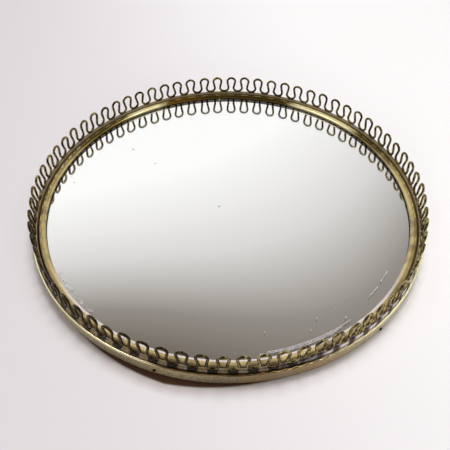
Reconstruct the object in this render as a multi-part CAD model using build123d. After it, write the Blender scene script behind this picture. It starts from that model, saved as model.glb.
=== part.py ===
from build123d import *
import os
from math import asin, atan2, cos, degrees, hypot, radians, sin, tan

# Round mirrored tray with a gallery of wire loops. Lengths are in millimetres and angles in degrees.
# The origin is the middle of the underside, +Z is up and -Y is the front.

# Rim band: an upright wall, a rolled lip and a flange that lies over the edge of the board
outer_radius = 150.0
band_thickness = 0.8
band_foot_height = 0.6
lip_radius = 0.9
lip_rise = 0.3
flange_overlap = 1.1
band_foot_round = 0.2
bore_overrun = 1.0

# Stack under the rim, from the floor up
felt_thickness = 1.0
felt_inset = 0.4
board_floor_thickness = 5.1
board_clearance = 0.2
board_edge_round = 0.4
card_thickness = 0.5
card_inset = 1.0
backing_thickness = 0.1
backing_inset = 0.3
backing_gap = 0.05
glass_thickness = 3.0
glass_clearance = 0.6
glass_arris = 0.3

# Bezel: a half-round strip, bent to a ring that is open at its butt joint
bezel_inset = 10.6
bezel_width = 5.3
bezel_height = 2.1
bezel_strip = 0.7
bezel_joint_gap = 0.3
bezel_joint_angle = 93.0

# Gallery: one wire bent in loops, standing on a rail
gallery_inset = 2.9
rail_width = 2.4
rail_height = 2.2
rail_round = 0.5
wire_radius = 1.0
loop_count = 74
loop_first_angle = 0.87
loop_height = 14.6
bulb_radius = 3.65
foot_radius = 3.85
foot_overrun = 0.3

# Solder: a mound over the rail at the foot of each loop
solder_height = 1.0
solder_inset = 0.1
solder_angle_share = 0.86

# Pins through the wall of the band into the board, driven by hand, so their heights differ
pin_first_angle = 12.0
pin_height = 3.2
pin_height_shares = [1.0, 0.9, 1.1, 1.0, 1.3, 0.72]
pin_head_radius = 1.1
pin_head_height = 1.0
pin_head_round = 0.6
pin_shank_radius = 0.7
pin_shank_depth = 6.0
pin_shank_clearance = 0.05

# Heights and radii that follow from the sizes above
board_bottom = felt_thickness
board_floor_top = board_bottom + board_floor_thickness
backing_bottom = board_floor_top + card_thickness
glass_bottom = backing_bottom + backing_thickness + backing_gap
glass_top = glass_bottom + glass_thickness
flange_bottom = glass_top - band_thickness

wall_inner_radius = outer_radius - band_thickness
board_radius = wall_inner_radius - board_clearance
bezel_inner_radius = outer_radius - bezel_inset
bezel_outer_radius = bezel_inner_radius + bezel_width
flange_inner_radius = bezel_outer_radius - flange_overlap
glass_radius = flange_inner_radius - glass_clearance

gallery_radius = outer_radius - gallery_inset
pin_bore_radius = pin_shank_radius + pin_shank_clearance
pin_end_radius = board_radius - pin_shank_depth
rail_top = glass_top + rail_height
foot_height = rail_top + wire_radius
pitch_angle = 360.0 / loop_count
half_pitch = gallery_radius * tan(radians(pitch_angle / 2))


def disc(radius, bottom, height):
    """Upright cylinder on the axis of the tray."""
    return Pos(0, 0, bottom) * Cylinder(radius, height, align=(Align.CENTER, Align.CENTER, Align.MIN))


def block(left, right, bottom, top):
    """Rectangle of a section, from its four sides."""
    return Pos((left + right) / 2, (bottom + top) / 2) * Rectangle(right - left, top - bottom)


def turned(section, arc=360.0):
    """Solid turned about the axis of the tray from a section drawn as radius and height."""
    return revolve(Plane.XZ * section, axis=Axis.Z, revolution_arc=arc)


def around(piece, first_angle, count):
    """Copies of a piece, evenly spaced about the axis of the tray."""
    return [Rot(0, 0, first_angle + index * 360.0 / count) * piece for index in range(count)]


def radial_rod(radius, inner, outer):
    """Cylinder that lies along +X between two radii of the tray, at height zero."""
    rod = Cylinder(radius, outer - inner, align=(Align.CENTER, Align.CENTER, Align.MIN))
    return Pos(inner, 0, 0) * Rot(0, 90, 0) * rod


def at_pins(piece):
    """Copies of a piece that lies along +X at height zero, one at the place of each pin."""
    turn = 360.0 / len(pin_height_shares)
    return [Rot(0, 0, pin_first_angle + index * turn) * Pos(0, 0, pin_height * share) * piece
            for index, share in enumerate(pin_height_shares)]


def make_base_felt():
    """Felt disc glued under the board."""
    return disc(wall_inner_radius - felt_inset, 0, felt_thickness)


def make_base_board():
    """Turned wooden board, with a recess for the mirror and pilot holes for the pins."""
    board = disc(board_radius, board_bottom, flange_bottom - board_bottom)
    board -= disc(flange_inner_radius, board_floor_top, flange_bottom)
    lowest_edge = board.edges().filter_by(GeomType.CIRCLE).sort_by(Axis.Z)[0]
    board = fillet(lowest_edge, board_edge_round)
    bore = radial_rod(pin_bore_radius, pin_end_radius, board_radius + bore_overrun)
    for pilot in at_pins(bore):
        board -= pilot
    return board


def make_packing_card():
    """Soft card between the mirror and the floor of the board's recess."""
    return disc(glass_radius - card_inset, board_floor_top, card_thickness)


def make_mirror_backing():
    """Silver coat with its paint, a hair under the glass."""
    return disc(glass_radius - backing_inset, backing_bottom, backing_thickness)


def make_mirror_glass():
    """Plate glass with its arrises taken off."""
    glass = disc(glass_radius, glass_bottom, glass_thickness)
    return chamfer(glass.edges().filter_by(GeomType.CIRCLE), glass_arris)


def make_rim_band():
    """Brass band: the wall, the rolled lip and the flange, with a hole for each pin."""
    lip_middle = outer_radius - lip_radius
    lip_centre_height = glass_top + lip_rise - lip_radius
    wall = block(wall_inner_radius, outer_radius, band_foot_height, lip_centre_height)
    wall = fillet(wall.vertices().group_by(Axis.Y)[0], band_foot_round)
    flange = block(flange_inner_radius, lip_middle, flange_bottom, glass_top)
    lip = Pos(lip_middle, lip_centre_height) * Circle(lip_radius)
    lip &= block(lip_middle - lip_radius, outer_radius, flange_bottom, glass_top + lip_rise)
    band = turned(wall + flange + lip)
    bore = radial_rod(pin_bore_radius, wall_inner_radius - bore_overrun, outer_radius + bore_overrun)
    for hole in at_pins(bore):
        band -= hole
    return band


def make_rim_pins():
    """Pins: a domed head on the outside of the band, and a shank through the band into the board."""
    head = radial_rod(pin_head_radius, outer_radius, outer_radius + pin_head_height)
    head = fillet(head.edges().filter_by(GeomType.CIRCLE).sort_by(Axis.X)[-1], pin_head_round)
    return at_pins(head + radial_rod(pin_shank_radius, pin_end_radius, outer_radius))


def make_bezel_ring():
    """Half-round strip over the edge of the glass, open by a hair at its butt joint."""
    half_width = bezel_width / 2
    arch = Ellipse(half_width, bezel_height) - Ellipse(half_width - bezel_strip, bezel_height - bezel_strip)
    arch &= block(-half_width, half_width, 0, bezel_height)
    arch = Pos(bezel_inner_radius + half_width, glass_top) * arch
    joint_arc = degrees(bezel_joint_gap / bezel_inner_radius)
    return Rot(0, 0, bezel_joint_angle + joint_arc / 2) * turned(arch, 360.0 - joint_arc)


def make_gallery_rail():
    """Square brass rail, soldered on the flange, with its upper corners rounded."""
    half_width = rail_width / 2
    section = block(gallery_radius - half_width, gallery_radius + half_width, glass_top, rail_top)
    section = fillet(section.vertices().group_by(Axis.Y)[-1], rail_round)
    return turned(section)


def loop_path():
    """Centre-line of one loop, from foot to foot, in the upright plane that the loop stands in.

    A foot arc turns up into a leaning leg, the leg meets the bulb arc, and the other half mirrors it.
    A short straight lead runs on past each foot, for the mitre to cut.
    """
    foot_centre = (-half_pitch, foot_height + foot_radius)
    bulb_centre = (0, foot_height + loop_height - bulb_radius)
    run = bulb_centre[0] - foot_centre[0]
    rise = bulb_centre[1] - foot_centre[1]
    spacing = hypot(run, rise)
    leg_angle = degrees(atan2(rise, run) + asin((foot_radius + bulb_radius) / spacing))
    lead_in = Line((-half_pitch - foot_overrun, foot_height), (-half_pitch, foot_height))
    left_foot = CenterArc(foot_centre, foot_radius, -90, leg_angle)
    bulb = CenterArc(bulb_centre, bulb_radius, leg_angle + 90, -2 * leg_angle)
    right_foot = CenterArc((half_pitch, foot_centre[1]), foot_radius, 270 - leg_angle, leg_angle)
    left_leg = Line(left_foot @ 1, bulb @ 0)
    right_leg = Line(bulb @ 1, right_foot @ 0)
    lead_out = Line((half_pitch, foot_height), (half_pitch + foot_overrun, foot_height))
    upright = Plane(origin=(gallery_radius, 0, 0), x_dir=(0, 1, 0), z_dir=(1, 0, 0))
    edges = [lead_in, left_foot, left_leg, bulb, right_leg, right_foot, lead_out]
    return Wire([(upright * edge).edge() for edge in edges])


def make_loop():
    """One loop of wire about +X, mitred where it meets the loops beside it."""
    path = loop_path()
    loop = sweep(Plane(origin=path @ 0, z_dir=path % 0) * Circle(wire_radius), path=path)
    for side in (-1, 1):
        cut_angle = radians(side * pitch_angle / 2)
        outward = (-side * sin(cut_angle), side * cos(cut_angle), 0)
        loop = split(loop, bisect_by=Plane(origin=(0, 0, 0), z_dir=outward), keep=Keep.BOTTOM)
    return loop


def make_gallery_wire(loop):
    """The loops joined to one unbroken wire."""
    skin = [face for face in loop.faces() if face.geom_type != GeomType.PLANE]
    faces = [face for copy in around(Compound(skin), loop_first_angle, loop_count) for face in copy.faces()]
    return Solid(Shell(faces))


def make_gallery_solder(loop):
    """A mound of solder on the rail at each foot, shaped round the wire."""
    half_width = rail_width / 2 - solder_inset
    mound = Ellipse(half_width, solder_height) & block(-half_width, half_width, 0, solder_height)
    arc = pitch_angle * solder_angle_share
    mound = Rot(0, 0, (pitch_angle - arc) / 2) * turned(Pos(gallery_radius, rail_top) * mound, arc)
    mound -= loop
    mound -= Rot(0, 0, pitch_angle) * loop
    return around(mound, loop_first_angle, loop_count)


def save(name, piece):
    """Write one node as a STEP file."""
    shape = Compound(children=piece) if isinstance(piece, list) else piece
    export_step(shape, os.path.join("parts", name + ".step"))


def main():
    os.makedirs("parts", exist_ok=True)
    loop = make_loop()
    save("base_felt", make_base_felt())
    save("base_board", make_base_board())
    save("packing_card", make_packing_card())
    save("mirror_backing", make_mirror_backing())
    save("mirror_glass", make_mirror_glass())
    save("rim_band", make_rim_band())
    save("rim_pins", make_rim_pins())
    save("bezel_ring", make_bezel_ring())
    save("gallery_rail", make_gallery_rail())
    save("gallery_wire", make_gallery_wire(loop))
    save("gallery_solder", make_gallery_solder(loop))


main()
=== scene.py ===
from math import asin, atan2, cos, degrees, exp, hypot, pi, radians, sin
from random import Random

import bpy
from bpy.props import FloatProperty, FloatVectorProperty, IntProperty, PointerProperty
from mathutils import Matrix, Vector, noise


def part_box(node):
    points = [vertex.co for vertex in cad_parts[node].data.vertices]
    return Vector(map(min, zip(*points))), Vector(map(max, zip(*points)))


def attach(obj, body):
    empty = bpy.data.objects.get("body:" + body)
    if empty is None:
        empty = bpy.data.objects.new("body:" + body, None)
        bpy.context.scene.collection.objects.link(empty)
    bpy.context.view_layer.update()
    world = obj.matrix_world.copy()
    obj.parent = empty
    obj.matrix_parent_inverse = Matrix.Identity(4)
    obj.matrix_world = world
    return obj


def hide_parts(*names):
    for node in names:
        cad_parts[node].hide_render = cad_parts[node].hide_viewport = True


bl_info = {
    "name": "Round mirrored tray",
    "version": (1, 0, 0),
    "blender": (4, 5, 0),
    "location": "3D View > Sidebar > Tray",
    "description": "Finishes a round mirrored tray with a gallery of wire loops, on a studio stage",
    "category": "Object",
}

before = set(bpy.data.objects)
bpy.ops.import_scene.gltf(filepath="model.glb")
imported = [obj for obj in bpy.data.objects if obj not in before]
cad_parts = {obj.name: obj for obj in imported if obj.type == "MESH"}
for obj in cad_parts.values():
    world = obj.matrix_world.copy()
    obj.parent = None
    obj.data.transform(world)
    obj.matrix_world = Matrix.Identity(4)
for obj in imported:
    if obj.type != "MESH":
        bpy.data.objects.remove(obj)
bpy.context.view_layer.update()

MM = 0.001
TO_MM = 1000.0


def top(node):
    """Height of a node's highest point."""
    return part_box(node)[1].z


def reach(node):
    """Radius of a round node."""
    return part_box(node)[1].x


OUTER_RADIUS = reach("rim_band")
BEZEL_OUTER = reach("bezel_ring")
GLASS_TOP = top("mirror_glass")
RAIL_TOP = top("gallery_rail")
LIP_TOP = top("rim_band")
GALLERY_TOP = top("gallery_wire")


def colour(code):
    """Linear colour from an sRGB hex code."""
    shares = [int(code[i:i + 2], 16) / 255 for i in (1, 3, 5)]
    return [s / 12.92 if s <= 0.04045 else ((s + 0.055) / 1.055) ** 2.4 for s in shares]


def size_prop(name, description, default):
    """A length that the user can change."""
    return FloatProperty(name=name, description=description, default=default, unit="LENGTH", precision=5)


def colour_prop(name, description, code):
    """A colour that the user can change."""
    return FloatVectorProperty(name=name, description=description, default=colour(code), subtype="COLOR",
                               min=0.0, max=1.0)


class TrayGallerySizes(bpy.types.PropertyGroup):
    """Sizes of the looped wire, the rail under it and the solder between them."""

    loop_count: IntProperty(name="Loops", description="Loops round the tray", default=74)
    first_loop: FloatProperty(name="First loop", description="Angle of the first loop from +X",
                              default=radians(0.87), subtype="ANGLE")
    gallery_radius: size_prop("Gallery radius", "From the axis to the middle of the wire",
                              OUTER_RADIUS - 2.9 * MM)
    wire_radius: size_prop("Wire radius", "Half the thickness of the wire", 1.0 * MM)
    bulb_radius: size_prop("Bulb radius", "Bend at the top of a loop", 3.65 * MM)
    foot_radius: size_prop("Foot radius", "Bend at the foot of a loop", 3.85 * MM)
    rail_width: size_prop("Rail width", "Width of the rail across the rim", 2.4 * MM)
    solder_height: size_prop("Solder height", "Height of the solder where it holds a foot", 1.5 * MM)
    unevenness: size_prop("Unevenness", "How far the top of a loop strays from its place", 0.45 * MM)


class TrayFinishes(bpy.types.PropertyGroup):
    """Colours of the metals, the silver coat, their tarnish, and the light and shade painted on them."""

    sheet_brass: colour_prop("Sheet brass", "Aged wall of the rim", "#D2C497")
    sheet_dull: colour_prop("Dull brass", "Tarnish in the wall of the rim", "#8C7B5A")
    lip_highlight: colour_prop("Lip highlight", "Painted highlight along the lip", "#FFF6C6")
    bezel_brass: colour_prop("Bezel brass", "Worn satin brass of the bezel", "#D3BF84")
    bezel_dull: colour_prop("Bezel tarnish", "Olive tarnish of the bezel", "#95835A")
    bezel_dark: colour_prop("Bezel, back", "Darker colour of the bezel at the back", "#7C6A30")
    bezel_highlight: colour_prop("Bezel highlight", "Painted highlight on the bezel, one on each side towards the back", "#FFF4BC")
    wire_brass: colour_prop("Wire brass", "Brass that shows where the patina is rubbed through", "#B8A970")
    wire_patina: colour_prop("Wire patina", "Dark patina of the wire", "#55482E")
    solder_tin: colour_prop("Solder", "Soft solder", "#948A90")
    solder_highlight: colour_prop("Solder highlight", "Painted highlight on the shiny lumps of solder", "#F4EEF8")
    corner_shade: colour_prop("Corner shade", "Painted shade in the corners of the rim", "#2B2022")
    silver: colour_prop("Silver", "Silver coat of the mirror", "#FEFEFD")


class TrayStageSizes(bpy.types.PropertyGroup):
    """Camera, lamps and floor."""

    camera_place: FloatVectorProperty(name="Camera", description="Place of the camera",
                                      default=(-0.00235, -0.3223, 0.3291), unit="LENGTH")
    camera_tilt: FloatProperty(name="Camera tilt", description="How far the camera looks down",
                               default=radians(47.01), subtype="ANGLE")
    key_watts: FloatProperty(name="Key lamp", description="Power of the soft lamp overhead", default=56.0)
    side_watts: FloatProperty(name="Side lamps", description="Power of each soft lamp at the sides",
                              default=3.4)
    front_watts: FloatProperty(name="Front lamp", description="Power of the low soft lamp in front",
                               default=8.5)
    floor_left: colour_prop("Floor, left", "Pale floor at the left", "#DFDCDE")
    floor_right: colour_prop("Floor, right", "Pale floor at the right", "#FEFDFE")


def add(tree, kind, inputs=(), stops=(), **settings):
    """Adds a node with its settings, colour stops and inputs, each an input's value or what it links to."""
    node = tree.nodes.new(kind)
    for name, value in settings.items():
        setattr(node, name, value)
    for place, code in stops:
        last = len(node.color_ramp.elements) - 1
        element = node.color_ramp.elements.new(place) if place not in (0.0, 1.0) else \
            node.color_ramp.elements[last if place else 0]
        element.color = (*colour(code), 1.0)
    for key, value in dict(inputs).items():
        if isinstance(value, bpy.types.NodeSocket):
            tree.links.new(value, node.inputs[key])
        elif hasattr(value, "__len__") and len(value) == 3 and len(node.inputs[key].default_value) == 4:
            node.inputs[key].default_value = (*value, 1.0)
        else:
            node.inputs[key].default_value = value
    return node


def started(name):
    """A new material and its empty node tree."""
    material = bpy.data.materials.new(name)
    material.use_nodes = True
    material.node_tree.nodes.clear()
    return material, material.node_tree


def surfaced(material, inputs, height=None, depth_mm=0.0, strength=1.0):
    """Ends a material with its shader and output. A height pattern raises the surface by depth_mm."""
    tree = material.node_tree
    inputs = dict(inputs)
    if height is not None:
        bump = {"Height": height, "Distance": depth_mm * MM, "Strength": strength}
        inputs["Normal"] = add(tree, "ShaderNodeBump", bump).outputs[0]
    shader = add(tree, "ShaderNodeBsdfPrincipled", inputs).outputs[0]
    add(tree, "ShaderNodeOutputMaterial", {"Surface": shader})
    return material


def places(tree):
    """Where a point lies on the tray, in millimetres: place, radius, height and the way round from the front.

    The way round has its seam at the back, where the bezel has its joint.
    """
    spot = add(tree, "ShaderNodeTexCoord").outputs["Object"]
    spot = add(tree, "ShaderNodeVectorMath", {0: spot, "Scale": TO_MM}, operation="SCALE").outputs[0]
    right, back, height = add(tree, "ShaderNodeSeparateXYZ", {0: spot}).outputs
    flat = add(tree, "ShaderNodeCombineXYZ", {0: right, 1: back}).outputs[0]
    radius = add(tree, "ShaderNodeVectorMath", {0: flat}, operation="LENGTH").outputs["Value"]
    forward = add(tree, "ShaderNodeMath", {0: back, 1: -1.0}, operation="MULTIPLY").outputs[0]
    angle = add(tree, "ShaderNodeMath", {0: right, 1: forward}, operation="ARCTAN2").outputs[0]
    way = add(tree, "ShaderNodeMath", {0: angle, 1: OUTER_RADIUS * TO_MM}, operation="MULTIPLY").outputs[0]
    unrolled = add(tree, "ShaderNodeCombineXYZ", {0: way, 1: radius, 2: height}).outputs[0]
    return {"spot": spot, "right": right, "back": back, "radius": radius, "height": height, "way": way,
            "unrolled": unrolled, "flat": flat}


def grain(tree, vector, grain_mm, detail=3.0, stretch=(1.0, 1.0, 1.0)):
    """Noise whose grains measure grain_mm, times stretch along each way."""
    squeeze = [1.0 / (grain_mm * s) for s in stretch]
    vector = add(tree, "ShaderNodeVectorMath", {0: vector, 1: squeeze}, operation="MULTIPLY").outputs[0]
    return add(tree, "ShaderNodeTexNoise", {"Vector": vector, "Scale": 1.0, "Detail": detail}).outputs["Fac"]


def inside(tree, *limits):
    """Share of 1 where every value is past its limit.

    A limit is a value, where it gives 0 and where it gives 1.
    """
    share = None
    for value, none, full in limits:
        inputs = {"Value": value, "From Min": none, "From Max": full}
        step = add(tree, "ShaderNodeMapRange", inputs, interpolation_type="SMOOTHSTEP").outputs["Result"]
        share = step if share is None else \
            add(tree, "ShaderNodeMath", {0: share, 1: step}, operation="MULTIPLY").outputs[0]
    return share


def along(tree, at, stretch, *limits):
    """Share of 1 along a stretch of the rim, where every other value is past its limit too."""
    begins, full, last_full, gone = stretch
    return inside(tree, (at["way"], begins, full), (at["way"], gone, last_full), *limits)


def laid_on(tree, skin, film, share, most=1.0):
    """Colour of a skin with a film laid on it, up to most of it where the share is 1."""
    part = add(tree, "ShaderNodeMath", {0: share, 1: most}, operation="MULTIPLY").outputs[0]
    return add(tree, "ShaderNodeMix", {0: part, 6: skin, 7: film}, data_type="RGBA").outputs[2]


# Stretches of the rim, by the way round from the front in millimetres, with the right above zero: where a
# finish begins to show, is full, is last full and has gone
WALL_ORANGE = (-10.0, 20.0, 50.0, 90.0)
WALL_PAINTED_SHADE = (-35.0, 0.0, 20.0, 90.0)
WALL_PAINTED_HALF_SHADE = (-120.0, -85.0, -70.0, -35.0)
LIP_DULL = (-56.0, -40.0, 48.0, 78.0)
LEDGE_PAINTED_SHADE = (-240.0, -180.0, 20.0, 60.0)
BEZEL_RIGHT_HIGHLIGHT = (325.0, 345.0, 398.0, 415.0)
BEZEL_LEFT_HIGHLIGHT = (-415.0, -398.0, -378.0, -358.0)
BEZEL_ORANGE = (-455.0, -430.0, -418.0, -405.0)
WIRE_PAINTED_SHADE = (-240.0, -190.0, -30.0, 20.0)
SOLDER_GREY = (10.0, 45.0, 225.0, 260.0)
SOLDER_FLUX_AND_SHADE = (-330.0, -200.0, 40.0, 90.0)
SOLDER_SHINY_HIGHLIGHT = (40.0, 75.0, 180.0, 230.0)
SILVER_HAZE = (24.0, 34.0, 84.0, 104.0)

# The same from one side only: where a finish begins to show and where it is full
WALL_PAINTED_LIGHT = (85.0, 130.0)

# The same on both sides of the bezel, by how far round it is from the front: where a finish begins to show
# and where it is full
SLOPE_PAINTED_REFLECTION = (170.0, 120.0)
BEZEL_BACK_DARK = (285.0, 320.0)
BEZEL_POLISHED = (120.0, 320.0)


def sheet_brass(finish):
    """Sheet brass, spun to a band and handled for years."""
    # To the eye: a matt olive-gold wall, speckled with grit, orange in front, with painted shade in front and
    # a painted pale reflection at the right, under a lip with a painted highlight but for a dull stretch in
    # front, and painted shade on the ledge at the front left.
    material, tree = started("SpunSheetBrass")
    at = places(tree)
    # The real grit is about 0.1 mm wide. It is drawn 0.6 to 0.9 mm wide, so that it shows.
    speckle = grain(tree, at["spot"], 0.9)
    grit = grain(tree, at["spot"], 0.6, 2.0)
    patches = grain(tree, at["spot"], 14.0)
    skin = laid_on(tree, finish.sheet_dull, finish.sheet_brass, inside(tree, (speckle, 0.36, 0.62)))
    painted_shade = colour("#3E3222")
    skin = laid_on(tree, skin, colour("#C8935A"), along(tree, at, WALL_ORANGE), 0.4)
    skin = laid_on(tree, skin, colour("#B4B09C"), inside(tree, (patches, 0.48, 0.62)), 0.4)
    skin = laid_on(tree, skin, colour("#4A3B2C"), inside(tree, (grit, 0.58, 0.7), (patches, 0.36, 0.6)), 0.6)
    # Painted shade: the wall is darkened in front, most in the middle, where it mirrors the shadow on the
    # floor
    skin = laid_on(tree, skin, painted_shade, along(tree, at, WALL_PAINTED_SHADE), 0.5)
    skin = laid_on(tree, skin, painted_shade, along(tree, at, WALL_PAINTED_HALF_SHADE), 0.3)
    # Painted light: the wall is paler at the right, where it mirrors the lit floor
    skin = laid_on(tree, skin, colour("#F2E6C8"), inside(tree, (at["way"], *WALL_PAINTED_LIGHT)), 0.5)
    lip_top, glass_top, rim = LIP_TOP * TO_MM, GLASS_TOP * TO_MM, OUTER_RADIUS * TO_MM
    lip = inside(tree, (at["height"], lip_top - 1.35, lip_top - 0.95))
    # Painted highlight: the lip is painted pale cream, but for a dull stretch in front
    painted_lip = laid_on(tree, finish.lip_highlight, colour("#8A7650"), along(tree, at, LIP_DULL))
    skin = laid_on(tree, skin, painted_lip, lip)
    # Painted shade on the ledge between the lip and the rail, darkest at the front left
    ledge = inside(tree, (at["radius"], rim - 1.5, rim - 1.7),
                   (at["height"], glass_top - 0.45, glass_top - 0.15))
    ledge_shade = laid_on(tree, colour("#7A6A4A"), finish.corner_shade, along(tree, at, LEDGE_PAINTED_SHADE))
    skin = laid_on(tree, skin, ledge_shade, ledge)
    shine = {"Value": lip, "To Min": 0.4, "To Max": 0.2}
    roughness = add(tree, "ShaderNodeMapRange", shine).outputs["Result"]
    bare = {"Value": lip, "To Min": 0.5, "To Max": 1.0}
    metal = add(tree, "ShaderNodeMapRange", bare).outputs["Result"]
    inputs = {"Base Color": skin, "Metallic": metal, "Roughness": roughness}
    return surfaced(material, inputs)


def bezel_brass(finish):
    """Half-round brass strip, drawn through a die and worn to satin."""
    # To the eye: pale gold that mirrors softly, with fine strokes along it and a painted pale reflection on
    # the inner slope in front. It is dark olive at the back, orange beside its joint, and has two painted
    # highlights, one on each side towards the back, with painted shade at its foot and its outer edge.
    material, tree = started("DrawnSatinBrass")
    at = places(tree)
    aside = add(tree, "ShaderNodeMath", {0: at["way"]}, operation="ABSOLUTE").outputs[0]
    # The real draw lines are hundredths of a millimetre apart. They are drawn at 0.5 mm, so that they show.
    lines = grain(tree, at["unrolled"], 0.5, 2.0, (24.0, 1.0, 1.0))
    strokes = grain(tree, at["unrolled"], 0.9, 3.0, (1.0, 4.0, 4.0))
    patches = grain(tree, at["spot"], 20.0)
    skin = laid_on(tree, finish.bezel_brass, finish.bezel_dull, inside(tree, (patches, 0.46, 0.64)), 0.9)
    skin = laid_on(tree, skin, finish.bezel_dull, inside(tree, (strokes, 0.54, 0.7)), 0.5)
    skin = laid_on(tree, skin, colour("#8C6A55"), inside(tree, (lines, 0.54, 0.7)), 0.3)
    glass_top, outer = GLASS_TOP * TO_MM, BEZEL_OUTER * TO_MM
    # Painted reflection: the inner slope in front is painted pale, as it mirrors the bright room
    slope_reflection = inside(tree, (at["radius"], outer - 2.7, outer - 3.7), (aside, *SLOPE_PAINTED_REFLECTION))
    skin = laid_on(tree, skin, colour("#F0E6E6"), slope_reflection, 0.85)
    skin = laid_on(tree, skin, finish.bezel_dark, inside(tree, (aside, *BEZEL_BACK_DARK)), 0.85)
    # Painted highlights: the bezel is painted bright at one place on each side towards the back
    highlights = {0: along(tree, at, BEZEL_RIGHT_HIGHLIGHT), 1: along(tree, at, BEZEL_LEFT_HIGHLIGHT)}
    brightened = add(tree, "ShaderNodeMath", highlights, operation="MAXIMUM").outputs[0]
    skin = laid_on(tree, skin, finish.bezel_highlight, brightened, 0.9)
    skin = laid_on(tree, skin, colour("#B98F3C"), along(tree, at, BEZEL_ORANGE), 0.8)
    # Painted shade: the bezel is darkened at its foot by the glass and at its outer edge by the groove
    foot = inside(tree, (at["height"], glass_top + 0.7, glass_top + 0.1))
    edge = inside(tree, (at["radius"], outer - 1.2, outer - 0.3))
    skin = laid_on(tree, skin, finish.corner_shade, foot, 0.6)
    skin = laid_on(tree, skin, finish.corner_shade, edge, 0.3)
    first, last = BEZEL_POLISHED
    worn = {"Value": aside, "From Min": first, "From Max": last, "To Min": 0.36, "To Max": 0.14}
    roughness = add(tree, "ShaderNodeMapRange", worn).outputs["Result"]
    bare = {"Value": aside, "From Min": first, "From Max": last, "To Min": 0.45, "To Max": 1.0}
    metal = add(tree, "ShaderNodeMapRange", bare).outputs["Result"]
    # Where the highlight is painted the bezel is less metallic: it takes more of the lamps' light, and
    # mirrors the dim room less
    metal = add(tree, "ShaderNodeMath", {0: brightened, 1: -0.65, 2: metal}, operation="MULTIPLY_ADD").outputs[0]
    return surfaced(material, {"Base Color": skin, "Metallic": metal, "Roughness": roughness})


def rail_brass(finish):
    """Square brass rail, flooded with solder as the gallery was fixed to it."""
    # To the eye: dull brass with grey-brown patches of tin, and painted shade along its foot.
    material, tree = started("TinnedBrass")
    at = places(tree)
    patches = grain(tree, at["spot"], 3.0)
    skin = laid_on(tree, colour("#BCAF9E"), colour("#C4AE74"), inside(tree, (patches, 0.38, 0.56)))
    glass_top = GLASS_TOP * TO_MM
    # Painted shade along the rail's foot
    foot = inside(tree, (at["height"], glass_top + 0.5, glass_top + 0.1))
    skin = laid_on(tree, skin, finish.corner_shade, foot, 0.35)
    inputs = {"Base Color": skin, "Metallic": 0.4, "Roughness": 0.4}
    return surfaced(material, inputs, patches, 0.12, 0.6)


def wire_brass(finish):
    """Drawn brass wire, darkened with an antique patina."""
    # To the eye: dark olive wire with narrow bright glints, yellow where the patina is rubbed through, with
    # painted shade at the front left, and black at its feet, from patina and painted shade.
    material, tree = started("PatinatedBrassWire")
    at = places(tree)
    brightened = grain(tree, at["spot"], 2.6)
    skin = laid_on(tree, finish.wire_patina, finish.wire_brass, inside(tree, (brightened, 0.42, 0.62)), 0.9)
    # Painted shade: the wire is darkened at the front left
    skin = laid_on(tree, skin, colour("#34281C"), along(tree, at, WIRE_PAINTED_SHADE), 0.85)
    rail_top = RAIL_TOP * TO_MM
    # Darker patina at the feet, with painted shade where the wire stands on the rail
    foot = inside(tree, (at["height"], rail_top + 2.6, rail_top + 0.8))
    skin = laid_on(tree, skin, colour("#241C15"), foot, 0.7)
    inputs = {"Base Color": skin, "Metallic": 1.0, "Roughness": 0.24}
    return surfaced(material, inputs, brightened, 0.06, 0.4)


def soft_solder(finish):
    """Soft solder, run along the rail and left as it froze."""
    # To the eye: pads of dull grey, brassy all round but at the front right, black at the feet in front from
    # flux and painted shade, and shiny lumps with a painted highlight between dark gaps at the front right.
    material, tree = started("SoftSolder")
    at = places(tree)
    film = grain(tree, at["spot"], 1.6)
    # The beat is 1 at a foot and 0 under the middle of a loop
    beat = add(tree, "ShaderNodeAttribute", attribute_name="beat").outputs["Fac"]
    skin = laid_on(tree, finish.solder_tin, colour("#574842"), inside(tree, (film, 0.42, 0.58)), 0.9)
    grey = along(tree, at, SOLDER_GREY)
    brassy = inside(tree, (grey, 1.0, 0.0), (film, 0.36, 0.5))
    skin = laid_on(tree, skin, colour("#8E7B4A"), brassy, 0.8)
    skin = laid_on(tree, skin, colour("#3A2C22"), inside(tree, (grey, 0.0, 1.0), (beat, 0.3, 0.1)), 0.8)
    # Black at the feet in front: flux, and painted shade
    skin = laid_on(tree, skin, colour("#15100F"), along(tree, at, SOLDER_FLUX_AND_SHADE, (beat, 0.3, 0.62)), 0.96)
    # Painted highlight: near-white on the shiny lumps at the front right, which are also smoother and less
    # metallic
    shine_and_highlight = along(tree, at, SOLDER_SHINY_HIGHLIGHT, (beat, 0.3, 0.65))
    skin = laid_on(tree, skin, finish.solder_highlight, shine_and_highlight, 0.9)
    dull = {"Value": shine_and_highlight, "To Min": 0.42, "To Max": 0.18}
    roughness = add(tree, "ShaderNodeMapRange", dull).outputs["Result"]
    metal = add(tree, "ShaderNodeMath", {0: shine_and_highlight, 1: -0.4, 2: 0.7}, operation="MULTIPLY_ADD").outputs[0]
    inputs = {"Base Color": skin, "Metallic": metal, "Roughness": roughness}
    return surfaced(material, inputs, film, 0.3, 0.8)


# Spots where the silver has gone: how far right, how far back and the radius, in millimetres
SILVER_PITS = ((-81.6, 66.1, 0.9), (-61.1, 47.7, 0.7), (-125.0, 24.2, 0.6), (-7.0, -3.3, 0.8))


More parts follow.
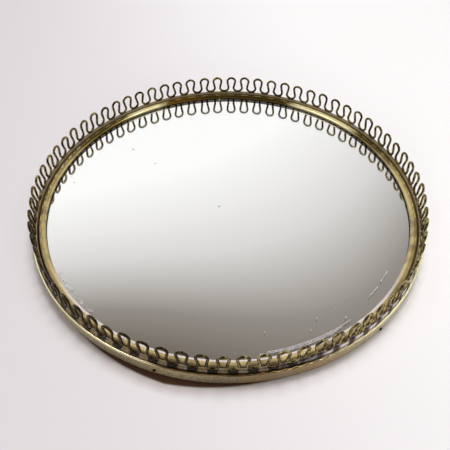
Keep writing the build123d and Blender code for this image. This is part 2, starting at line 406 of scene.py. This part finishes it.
def silver_coat(finish):
    """Silver coat on the back of the glass, gone in pits and hazy near the edge."""
    # To the eye: a clear mirror, with a few dark pits and a faint haze at the front right.
    material, tree = started("SilverCoat")
    at = places(tree)
    lost = None
    for across, back, radius in SILVER_PITS:
        middle = {0: at["flat"], 1: (across, back, 0.0)}
        away = add(tree, "ShaderNodeVectorMath", middle, operation="DISTANCE").outputs["Value"]
        pit = inside(tree, (away, radius, radius * 0.5))
        lost = pit if lost is None else \
            add(tree, "ShaderNodeMath", {0: lost, 1: pit}, operation="MAXIMUM").outputs[0]
    haze = along(tree, at, SILVER_HAZE, (at["radius"], 133.8, 134.4))
    skin = laid_on(tree, finish.silver, colour("#DCD6DE"), haze, 0.5)
    skin = laid_on(tree, skin, colour("#3A3733"), lost)
    metal = add(tree, "ShaderNodeMath", {0: 1.0, 1: lost}, operation="SUBTRACT", use_clamp=True).outputs[0]
    blur = add(tree, "ShaderNodeMath", {0: haze, 1: 0.2}, operation="MULTIPLY").outputs[0]
    return surfaced(material, {"Base Color": skin, "Metallic": metal, "Roughness": blur})


def plate_glass():
    """Float glass, polished on both faces."""
    # To the eye: nothing of itself, but the depth between the bezel and its reflection.
    material, _ = started("FloatGlass")
    inputs = {"Base Color": colour("#FFFFFF"), "Roughness": 0.0, "IOR": 1.52, "Transmission Weight": 1.0}
    return surfaced(material, inputs)


def mirror_dust():
    """House dust and fine scratches on the glass."""
    # To the eye: small matt pale flecks and flakes, and thin pale lines near the edge.
    material, tree = started("HouseDust")
    at = places(tree)
    fluff = grain(tree, at["spot"], 1.5, 2.0)
    skin = laid_on(tree, colour("#F2F0F0"), colour("#C6C2C1"), inside(tree, (fluff, 0.4, 0.6)))
    return surfaced(material, {"Base Color": skin, "Roughness": 0.9})


def blackened_steel():
    """Steel pins, blackened with oxide."""
    # To the eye: nearly black, with a dull shine.
    material, tree = started("BlackenedSteel")
    at = places(tree)
    oxide = grain(tree, at["spot"], 0.6)
    skin = laid_on(tree, colour("#120D0A"), colour("#2A211A"), inside(tree, (oxide, 0.4, 0.6)))
    return surfaced(material, {"Base Color": skin, "Metallic": 1.0, "Roughness": 0.5})


def stained_wood():
    """Beech, turned and stained."""
    # To the eye: dark brown with short lighter flecks of grain.
    material, tree = started("StainedBeech")
    at = places(tree)
    streaks = grain(tree, at["spot"], 1.2, 4.0, (12.0, 1.0, 1.0))
    skin = laid_on(tree, colour("#3B2416"), colour("#6A4529"), inside(tree, (streaks, 0.35, 0.65)))
    return surfaced(material, {"Base Color": skin, "Roughness": 0.6}, streaks, 0.08, 0.6)


def pressed_felt():
    """Wool felt, pressed."""
    # To the eye: matted dark brown-green fibres with a soft sheen.
    material, tree = started("PressedFelt")
    at = places(tree)
    # The real fibres are 0.03 mm thick. Their tufts are drawn 0.8 mm wide, so that they show.
    fibres = grain(tree, at["spot"], 0.8, 5.0)
    skin = laid_on(tree, colour("#2E2A1C"), colour("#554D36"), inside(tree, (fibres, 0.35, 0.65)))
    return surfaced(material, {"Base Color": skin, "Roughness": 1.0, "Sheen Weight": 0.4}, fibres, 0.3, 0.9)


def grey_card():
    """Pressed grey board."""
    # To the eye: matt grey-brown with flecks of pulp. It lies under the mirror, where it doesn't show.
    material, tree = started("GreyBoard")
    at = places(tree)
    flecks = grain(tree, at["spot"], 0.7)
    skin = laid_on(tree, colour("#9D9382"), colour("#857A69"), inside(tree, (flecks, 0.35, 0.65)))
    return surfaced(material, {"Base Color": skin, "Roughness": 0.95})


# Painted light: the floor grows lighter towards the right, and by this share of it towards the back, over
# this half width in millimetres
FLOOR_SLANT = 0.3
FLOOR_HALF_WIDTH = 210.0

# The painted shadow on the floor, a dark crescent, in millimetres: where its tip lies on the way round from
# the front, how far out the tip reaches, how far the edge falls back for each millimetre of the way, half the
# width of its soft edge, and how much further out its brown painted penumbra reaches
CRESCENT_WAY = -39.0
CRESCENT_REACH = 155.2
CRESCENT_SLOPE = 0.08
CRESCENT_EDGE = 0.9
CRESCENT_PENUMBRA = 9.0


def pale_paper(sizes):
    """Paper on the floor, matt."""
    # To the eye: a plain pale ground, painted lighter towards the right and the back, with a painted
    # brown-black shadow, a crescent at the tray's front left.
    material, tree = started("PalePaper")
    at = places(tree)
    # Painted light: the floor is lighter towards the right and the back
    slanted = {0: at["back"], 1: FLOOR_SLANT, 2: at["right"]}
    lit = add(tree, "ShaderNodeMath", slanted, operation="MULTIPLY_ADD").outputs[0]
    lit = inside(tree, (lit, -FLOOR_HALF_WIDTH, FLOOR_HALF_WIDTH))
    skin = laid_on(tree, sizes.floor_left, sizes.floor_right, lit)
    # Painted shadow: the tray's shadow at the front left, a brown-black core with a soft brown penumbra
    beside = add(tree, "ShaderNodeMath", {0: at["way"], 1: CRESCENT_WAY}, operation="SUBTRACT").outputs[0]
    beside = add(tree, "ShaderNodeMath", {0: beside}, operation="ABSOLUTE").outputs[0]
    fallen = {0: beside, 1: CRESCENT_SLOPE, 2: at["radius"]}
    away = add(tree, "ShaderNodeMath", fallen, operation="MULTIPLY_ADD").outputs[0]
    penumbra = inside(tree, (away, CRESCENT_REACH + CRESCENT_PENUMBRA, CRESCENT_REACH))
    dark = inside(tree, (away, CRESCENT_REACH + CRESCENT_EDGE, CRESCENT_REACH - CRESCENT_EDGE))
    skin = laid_on(tree, skin, colour("#8A6C58"), penumbra, 0.35)
    skin = laid_on(tree, skin, colour("#4C3120"), dark)
    return surfaced(material, {"Base Color": skin, "Roughness": 0.9})


def finish_node(node, material):
    """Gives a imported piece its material."""
    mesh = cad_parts[node].data
    mesh.materials.clear()
    mesh.materials.append(material)


def new_piece(name, points, faces, material, replaced=()):
    """A piece of the tray made from points and faces, with smooth shading."""
    mesh = bpy.data.meshes.new(name)
    mesh.from_pydata(points, [], faces)
    mesh.shade_smooth()
    mesh.materials.append(material)
    piece = bpy.data.objects.new(name, mesh)
    bpy.context.scene.collection.objects.link(piece)
    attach(piece, "root")
    if replaced:
        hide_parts(*replaced)
    return piece


def woven(rows, columns, round_rows, round_columns):
    """Quads of a grid of points, closed along its rows or columns where asked."""
    faces = []
    for row in range(rows if round_rows else rows - 1):
        for column in range(columns if round_columns else columns - 1):
            here, there = row * columns, (row + 1) % rows * columns
            beside = (column + 1) % columns
            faces.append((here + column, here + beside, there + beside, there + column))
    return faces


def on_tray(radius, angle, height):
    """Point at a radius and an angle from +X."""
    return Vector((radius * cos(angle), radius * sin(angle), height))


def loop_line(sizes, steps=9):
    """Centre-line of one loop from foot to foot: the way round and the height above the foot, in metres."""
    pitch = 2 * pi * sizes.gallery_radius / sizes.loop_count
    foot_middle = (-pitch / 2, sizes.foot_radius)
    bulb_middle = (0.0, GALLERY_TOP - RAIL_TOP - 2 * sizes.wire_radius - sizes.bulb_radius)
    run, rise = bulb_middle[0] - foot_middle[0], bulb_middle[1] - foot_middle[1]
    bend = atan2(rise, run) + asin((sizes.foot_radius + sizes.bulb_radius) / hypot(run, rise))
    foot_turns = [-pi / 2 + bend * step / (steps - 1) for step in range(steps)]
    bulb_turns = [pi / 2 + bend - bend * step / (steps - 1) for step in range(steps)]
    bends = ((foot_middle, sizes.foot_radius, foot_turns), (bulb_middle, sizes.bulb_radius, bulb_turns))
    line = [(middle[0] + radius * cos(turn), middle[1] + radius * sin(turn))
            for middle, radius, turns in bends for turn in turns]
    # The other half mirrors this one, without its top and its last foot, where the next loop begins
    return line + [(-way, height) for way, height in reversed(line[1:-1])]


# How the gallery leans: the middle and the half width of a stretch in degrees from the front, and how far its
# top leans inward. A lean below zero is outward.
GALLERY_LEANS = ((0.0, 40.0, -0.6 * MM), (90.0, 42.0, -0.9 * MM), (-90.0, 42.0, -0.9 * MM),
                 (180.0, 42.0, 1.0 * MM), (-22.0, 16.0, 0.9 * MM), (42.0, 10.0, 0.7 * MM))


def lean_at(angle):
    """How far the top of the gallery leans inward at an angle from +X."""
    from_front = degrees(atan2(cos(angle), -sin(angle)))
    total = 0.0
    for middle, spread, lean in GALLERY_LEANS:
        away = (from_front - middle + 180.0) % 360.0 - 180.0
        total += lean * exp(-(away / spread) ** 2)
    return total


# How far the loops stray round the ring: the angle from +X in degrees and the way they stray, in millimetres
LOOP_DRIFTS = ((0, -2.1), (45, -2.0), (60, -1.2), (75, -0.2), (90, 0.8), (105, 1.5), (120, 1.7), (150, 1.1),
               (165, 1.4), (185, 1.0), (225, -0.2), (260, 0.55), (284, 0.0), (297, -1.4), (310, -2.3),
               (345, -1.9), (360, -2.1))


def drifted(angle, radius):
    """An angle from +X, moved by how far the loops there stray."""
    turn = degrees(angle) % 360.0
    for (low, first), (high, second) in zip(LOOP_DRIFTS, LOOP_DRIFTS[1:]):
        if low <= turn <= high:
            share = (turn - low) / (high - low)
            return angle + (first + (second - first) * share) * MM / radius
    return angle


# How far the wire waves in and out along a loop, where it was bent by hand
HAND_WOBBLE = 0.12 * MM


def wire_centres(sizes):
    """Centre-line of the whole wire, bent by hand: each loop is a little higher, wider or more tilted."""
    rng = Random(74)
    line = loop_line(sizes)
    loop_height = max(height for _, height in line)
    foot_height = RAIL_TOP + sizes.wire_radius
    centres = []
    for loop in range(sizes.loop_count):
        middle = sizes.first_loop + 2 * pi * loop / sizes.loop_count
        taller = rng.uniform(-0.8, 0.6) * sizes.unevenness
        wider = 1 + rng.uniform(-0.05, 0.05)
        skew = rng.uniform(-1.0, 1.0) * sizes.unevenness
        inward = rng.uniform(-0.8, 0.8) * sizes.unevenness + lean_at(middle)
        for way, height in line:
            share = height / loop_height
            eased = share * share * (3 - 2 * share)
            side = way * (1 + (wider - 1) * eased) + skew * eased
            angle = drifted(middle + side / sizes.gallery_radius, sizes.gallery_radius)
            wobble = HAND_WOBBLE * noise.noise(Vector((loop * 2.0, share * 2.5, way * 300.0)))
            radius = sizes.gallery_radius - inward * eased + wobble
            centres.append(on_tray(radius, angle, foot_height + height + taller * eased))
    return centres


class TRAY_OT_gallery_wire(bpy.types.Operator):
    """Bends the gallery wire, loop by loop"""

    bl_idname = "tray.gallery_wire"
    bl_label = "Gallery wire"

    def execute(self, context):
        sizes = context.scene.tray_gallery
        centres = wire_centres(sizes)
        count, sides = len(centres), 10
        points = []
        for index, centre in enumerate(centres):
            ahead = (centres[(index + 1) % count] - centres[index - 1]).normalized()
            outward = Vector((centre.x, centre.y, 0.0)).normalized()
            outward = (outward - outward.dot(ahead) * ahead).normalized()
            beside = ahead.cross(outward)
            for side in range(sides):
                turn = 2 * pi * side / sides
                points.append(centre + sizes.wire_radius * (cos(turn) * outward + sin(turn) * beside))
        faces = woven(count, sides, True, True)
        new_piece("gallery_wire_bent", points, faces, wire_brass(context.scene.tray_finishes),
                  ["gallery_wire"])
        return {"FINISHED"}


# The solder's section, from the inner side of the rail over its top and down its outer side: how far across,
# in half widths of the rail, how far above the rail's top, and the share of the solder's height on it
SOLDER_SECTION = ((-0.86, -0.25 * MM, 0.1), (-0.7, 0.0, 0.5), (-0.3, 0.05 * MM, 1.0), (0.15, 0.05 * MM, 1.0),
                  (0.6, 0.0, 0.85), (0.92, -0.2 * MM, 0.55), (1.02, -0.8 * MM, 0.3), (1.06, -1.5 * MM, 0.15),
                  (1.02, -2.1 * MM, 0.0))

# How many times the section is set along each loop
SECTIONS_PER_LOOP = 16

# How far a lump spreads along the rail, the height between the feet as a share of the height at a foot, and
# how far the outer side bulges as a share of the solder's thickness there
LUMP_SPREAD = 2.0 * MM
FILM_SHARE = 0.16
BULGE_SHARE = 0.35

# How many ripples the frozen solder has to a metre, and how many times finer the small ones in them are
RIPPLES = 900.0
FINER_RIPPLES = 2.3


class TRAY_OT_solder(bpy.types.Operator):
    """Runs the solder along the rail, with a lump at the foot of each loop"""

    bl_idname = "tray.solder"
    bl_label = "Solder"

    def execute(self, context):
        sizes = context.scene.tray_gallery
        rng = Random(19)
        lumps = [rng.uniform(0.55, 1.0) for _ in range(sizes.loop_count)]
        shifts = [rng.uniform(-0.8, 0.8) * MM for _ in range(sizes.loop_count)]
        stations = sizes.loop_count * SECTIONS_PER_LOOP
        pitch = 2 * pi / sizes.loop_count
        half = sizes.rail_width / 2
        points, beats = [], []
        for station in range(stations):
            angle = sizes.first_loop + pitch * (station / SECTIONS_PER_LOOP - 0.5)
            foot = round((angle - sizes.first_loop) / pitch - 0.5)
            foot_angle = sizes.first_loop + pitch * (foot + 0.5)
            foot %= sizes.loop_count
            away = (angle - foot_angle) * sizes.gallery_radius - shifts[foot]
            lump = lumps[foot] * exp(-(away / LUMP_SPREAD) ** 2)
            angle = drifted(angle, sizes.gallery_radius)
            for half_widths, lift, share in SOLDER_SECTION:
                across = half_widths * half
                spot = on_tray(sizes.gallery_radius + across, angle, 0.0) * RIPPLES
                rough = noise.noise(spot) * 0.3 + noise.noise(spot * FINER_RIPPLES) * 0.15
                stands = max(0.0, FILM_SHARE + (1 - FILM_SHARE) * lump + 0.5 * rough)
                thick = share * sizes.solder_height * stands
                out = max(0.0, half_widths) * thick * BULGE_SHARE
                points.append(on_tray(sizes.gallery_radius + across + out, angle, RAIL_TOP + lift + thick))
                beats.append(0.5 - 0.5 * cos(2 * pi * station / SECTIONS_PER_LOOP - pi))
        faces = woven(stations, len(SOLDER_SECTION), True, False)
        run = new_piece("solder_run", points, faces, soft_solder(context.scene.tray_finishes),
                        ["gallery_solder"])
        run.data.attributes.new("beat", "FLOAT", "POINT").data.foreach_set("value", beats)
        return {"FINISHED"}


class TRAY_OT_rim(bpy.types.Operator):
    """Finishes the brass band, its pins, the bezel and the rail"""

    bl_idname = "tray.rim"
    bl_label = "Rim"

    def execute(self, context):
        finish = context.scene.tray_finishes
        finish_node("rim_band", sheet_brass(finish))
        finish_node("rim_pins", blackened_steel())
        finish_node("bezel_ring", bezel_brass(finish))
        finish_node("gallery_rail", rail_brass(finish))
        return {"FINISHED"}


class TRAY_OT_base(bpy.types.Operator):
    """Finishes the board, the felt under it and the card on it"""

    bl_idname = "tray.base"
    bl_label = "Base"

    def execute(self, context):
        finish_node("base_board", stained_wood())
        finish_node("base_felt", pressed_felt())
        finish_node("packing_card", grey_card())
        return {"FINISHED"}


class TRAY_OT_mirror(bpy.types.Operator):
    """Finishes the glass and its silver coat"""

    bl_idname = "tray.mirror"
    bl_label = "Mirror"

    def execute(self, context):
        finish_node("mirror_glass", plate_glass())
        finish_node("mirror_backing", silver_coat(context.scene.tray_finishes))
        return {"FINISHED"}


# Scratches in the glass: how far right, how far back, the length and the width in millimetres, and the angle
# from +X at which it runs in degrees
SCRATCHES = ((77.2, -107.2, 2.4, 0.6, 75.0), (58.0, -108.0, 1.4, 0.7, 80.0), (53.1, -117.2, 1.3, 0.5, 85.0),
             (23.4, -118.7, 1.6, 0.4, 88.0))

# Pale lines that run near the edge at the front right: the radius in millimetres, and the angles from +X at
# which a line starts and ends in degrees
PALE_LINES = ((135.4, 281.0, 306.0), (136.3, 279.0, 303.0), (137.2, 284.0, 300.0), (131.5, 317.0, 321.0),
              (131.2, 324.0, 328.5))

# Pale flakes by the bezel at the front left: how many, their outermost radius and how far they spread inward
# in millimetres, and the angles from +X that they lie between in degrees
FLAKE_COUNT = 110
FLAKE_RADIUS = 138.6
FLAKE_SPREAD = 1.6
FLAKE_ANGLES = (209.0, 229.0)

# Loose dust: how many flecks fall on the glass, the share of those behind the middle that stay, and how far
# from the tray's outside it stays clear
DUST_COUNT = 170
DUST_BEHIND_SHARE = 0.15
DUST_CLEAR = 12.5 * MM


class TRAY_OT_dust(bpy.types.Operator):
    """Lays dust and scratches on the glass, most of it towards the front"""

    bl_idname = "tray.dust"
    bl_label = "Dust and scratches"

    def execute(self, context):
        rng = Random(5)
        points, faces = [], []
        edge_height = GLASS_TOP + 0.01 * MM
        middle_height = GLASS_TOP + 0.04 * MM

        def fleck(across, back, length, width, turn):
            """One ragged fleck on the glass, a little higher in its middle."""
            first = len(points)
            sides = 8
            for side in range(sides):
                angle = 2 * pi * side / sides
                ragged = rng.uniform(0.75, 1.0)
                flat = Vector((cos(angle) * length / 2, sin(angle) * width / 2, 0.0)) * ragged
                flat.rotate(Matrix.Rotation(turn, 3, "Z"))
                points.append(Vector((across, back, edge_height)) + flat)
            points.append(Vector((across, back, middle_height)))
            faces.extend((first + side, first + (side + 1) % sides, first + sides) for side in range(sides))

        def fleck_on_ring(radius, turn, length, width):
            """One fleck that runs round the tray, at an angle from +X in degrees."""
            angle = radians(turn)
            fleck(radius * MM * cos(angle), radius * MM * sin(angle), length * MM, width * MM, angle + pi / 2)

        for across, back, length, width, turn in SCRATCHES:
            fleck(across * MM, back * MM, length * MM, width * MM, radians(turn))
        for radius, first, last in PALE_LINES:
            turn = first
            while turn < last:
                strayed = radius + rng.uniform(-0.06, 0.06)
                fleck_on_ring(strayed, turn, rng.uniform(3.0, 5.0), rng.uniform(0.3, 0.5))
                turn += rng.uniform(0.7, 1.3)
        for _ in range(FLAKE_COUNT):
            size = rng.uniform(0.25, 0.6)
            radius = FLAKE_RADIUS - abs(rng.gauss(0.0, FLAKE_SPREAD))
            fleck_on_ring(radius, rng.uniform(*FLAKE_ANGLES), size * rng.uniform(1.0, 1.8), size)
        for _ in range(DUST_COUNT):
            radius = (OUTER_RADIUS - DUST_CLEAR) * rng.random() ** 0.5
            angle = rng.uniform(0, 2 * pi)
            across, back = radius * cos(angle), radius * sin(angle)
            if rng.random() < (1.0 if back < 0.0 else DUST_BEHIND_SHARE):
                width = rng.uniform(0.15, 0.4) * MM
                fleck(across, back, width * rng.uniform(1.0, 2.0), width, rng.uniform(0, pi))
        new_piece("glass_dust", points, faces, mirror_dust())
        return {"FINISHED"}


def soft_lamp(name, azimuth, elevation, distance, width, watts, tint, shown=True):
    """A square soft box aimed at the tray, shown in its metal or not.

    Its azimuth is from the back towards the right, and its distance and width are in metres.
    """
    lamp = bpy.data.lights.new(name, "AREA")
    lamp.shape = "SQUARE"
    lamp.size = width
    lamp.energy = watts
    lamp.color = colour(tint)
    box = bpy.data.objects.new(name, lamp)
    bpy.context.scene.collection.objects.link(box)
    flat = distance * cos(elevation)
    box.location = (flat * sin(azimuth), flat * cos(azimuth), distance * sin(elevation))
    box.rotation_euler = (-box.location).to_track_quat("-Z", "Y").to_euler()
    box.visible_camera = False
    box.visible_glossy = shown
    box.visible_transmission = False


# The room that metal and glass show, by how steeply a ray rises: from the white wall below to the dim ceiling
ROOM_TONES = ((0.0, "#FFFFFF"), (0.64, "#FFFFFF"), (0.71, "#EEEDED"), (0.76, "#DCDAD9"), (0.8, "#BAB7B3"),
              (0.83, "#938E88"), (0.87, "#766E65"), (1.0, "#665C52"))

# The upper edge of the wall: the rise at which it is level, how far it slants towards the right, and how much
# it bows at the sides
WALL_LEVEL = 0.807
WALL_SLANT = 2.0
WALL_BOW = 0.6

# Strength of the plain light that reaches the tray from all round
SOFT_LIGHT = 0.1


def light_world():
    """World: a white wall and a dim room to what looks at them, and plain soft light on the rest."""
    world = bpy.data.worlds.new("Studio")
    bpy.context.scene.world = world
    world.use_nodes = True
    tree = world.node_tree
    tree.nodes.clear()
    way = add(tree, "ShaderNodeTexCoord").outputs["Generated"]
    right, back, up = add(tree, "ShaderNodeSeparateXYZ", {0: way}).outputs
    below = add(tree, "ShaderNodeMath", {0: WALL_LEVEL, 1: up}, operation="SUBTRACT").outputs[0]
    slant = add(tree, "ShaderNodeMath", {0: below, 1: right}, operation="MULTIPLY").outputs[0]
    rise = add(tree, "ShaderNodeMath", {0: slant, 1: WALL_SLANT, 2: up}, operation="MULTIPLY_ADD").outputs[0]
    aside = add(tree, "ShaderNodeMath", {0: right, 1: right}, operation="MULTIPLY").outputs[0]
    bowed = {0: aside, 1: WALL_BOW, 2: rise}
    rise = add(tree, "ShaderNodeMath", bowed, operation="MULTIPLY_ADD", use_clamp=True).outputs[0]
    seen = add(tree, "ShaderNodeValToRGB", {0: rise}, stops=ROOM_TONES).outputs[0]
    # The wall is white again far to the right. The room in front of the tray is dim, and paler low down.
    in_front = (back, 0.2, -0.3)
    seen = laid_on(tree, seen, colour("#FFFFFF"), inside(tree, (right, 0.4, 0.55), (up, 0.78, 0.6)))
    seen = laid_on(tree, seen, colour("#6A6158"), inside(tree, in_front))
    seen = laid_on(tree, seen, colour("#D8D2CE"), inside(tree, (up, 0.35, 0.0), in_front))
    rays = add(tree, "ShaderNodeLightPath").outputs
    looks = {0: rays["Is Glossy Ray"], 1: rays["Is Transmission Ray"]}
    looks = add(tree, "ShaderNodeMath", looks, operation="MAXIMUM").outputs[0]
    soft = add(tree, "ShaderNodeBackground", {"Color": colour("#FFFAF7"), "Strength": SOFT_LIGHT}).outputs[0]
    room = add(tree, "ShaderNodeBackground", {"Color": seen, "Strength": 1.0}).outputs[0]
    white = add(tree, "ShaderNodeBackground", {"Color": colour("#FFFFFF"), "Strength": 1.0}).outputs[0]
    mixed = add(tree, "ShaderNodeMixShader", {0: looks, 1: soft, 2: room}).outputs[0]
    mixed = add(tree, "ShaderNodeMixShader", {0: rays["Is Camera Ray"], 1: mixed, 2: white}).outputs[0]
    add(tree, "ShaderNodeOutputWorld", {"Surface": mixed})


class TRAY_OT_stage(bpy.types.Operator):
    """Sets the floor, the lamps, the world and the camera"""

    bl_idname = "tray.stage"
    bl_label = "Stage"

    def execute(self, context):
        scene = context.scene
        sizes = scene.tray_stage
        scene.view_settings.view_transform = "Standard"
        half = 3.0
        corners = [(-half, -half, 0), (half, -half, 0), (half, half, 0), (-half, half, 0)]
        mesh = bpy.data.meshes.new("floor")
        mesh.from_pydata(corners, [], [(0, 1, 2, 3)])
        floor = bpy.data.objects.new("floor", mesh)
        scene.collection.objects.link(floor)
        mesh.materials.append(pale_paper(sizes))
        soft_lamp("key", radians(14), radians(72), 3.0, 0.9, sizes.key_watts, "#FFFDFD", shown=False)
        soft_lamp("right", radians(98), radians(60), 1.5, 0.46, sizes.side_watts, "#FFFDFB")
        soft_lamp("left", radians(-92), radians(61), 1.5, 0.46, sizes.side_watts, "#FFFBFF")
        soft_lamp("front", radians(-165), radians(14), 1.5, 0.7, sizes.front_watts, "#FFFDF8", shown=False)
        light_world()
        camera = bpy.data.cameras.new("camera")
        picture_side = 450.0
        focal_pixels = 578.7
        camera.sensor_width = 36.0
        camera.lens = camera.sensor_width * focal_pixels / picture_side
        eye = bpy.data.objects.new("camera", camera)
        scene.collection.objects.link(eye)
        eye.location = sizes.camera_place
        eye.rotation_euler = (pi / 2 - sizes.camera_tilt, 0.0, 0.0)
        scene.camera = eye
        return {"FINISHED"}


class TRAY_PT_parts(bpy.types.Panel):
    """Lists the tray's settings and the steps that make it"""

    bl_idname = "TRAY_PT_parts"
    bl_label = "Mirrored tray"
    bl_space_type = "VIEW_3D"
    bl_region_type = "UI"
    bl_category = "Tray"

    def draw(self, context):
        for group in ("tray_gallery", "tray_finishes", "tray_stage"):
            settings = getattr(context.scene, group)
            for name in settings.__annotations__:
                self.layout.prop(settings, name)
        for step in STEPS:
            self.layout.operator(step.bl_idname)


GROUPS = {"tray_gallery": TrayGallerySizes, "tray_finishes": TrayFinishes, "tray_stage": TrayStageSizes}
STEPS = (TRAY_OT_rim, TRAY_OT_base, TRAY_OT_mirror, TRAY_OT_dust, TRAY_OT_gallery_wire, TRAY_OT_solder,
         TRAY_OT_stage)


def register():
    """Registers the settings, the steps and the panel."""
    for name, group in GROUPS.items():
        bpy.utils.register_class(group)
        setattr(bpy.types.Scene, name, PointerProperty(type=group))
    for step in (*STEPS, TRAY_PT_parts):
        bpy.utils.register_class(step)


def unregister():
    """Takes back what register did."""
    for step in (*STEPS, TRAY_PT_parts):
        bpy.utils.unregister_class(step)
    for name, group in GROUPS.items():
        delattr(bpy.types.Scene, name)
        bpy.utils.unregister_class(group)


def main():
    """Makes every piece and the stage."""
    register()
    bpy.ops.tray.rim()
    bpy.ops.tray.base()
    bpy.ops.tray.mirror()
    bpy.ops.tray.dust()
    bpy.ops.tray.gallery_wire()
    bpy.ops.tray.solder()
    bpy.ops.tray.stage()


if __name__ == "__main__":
    main()
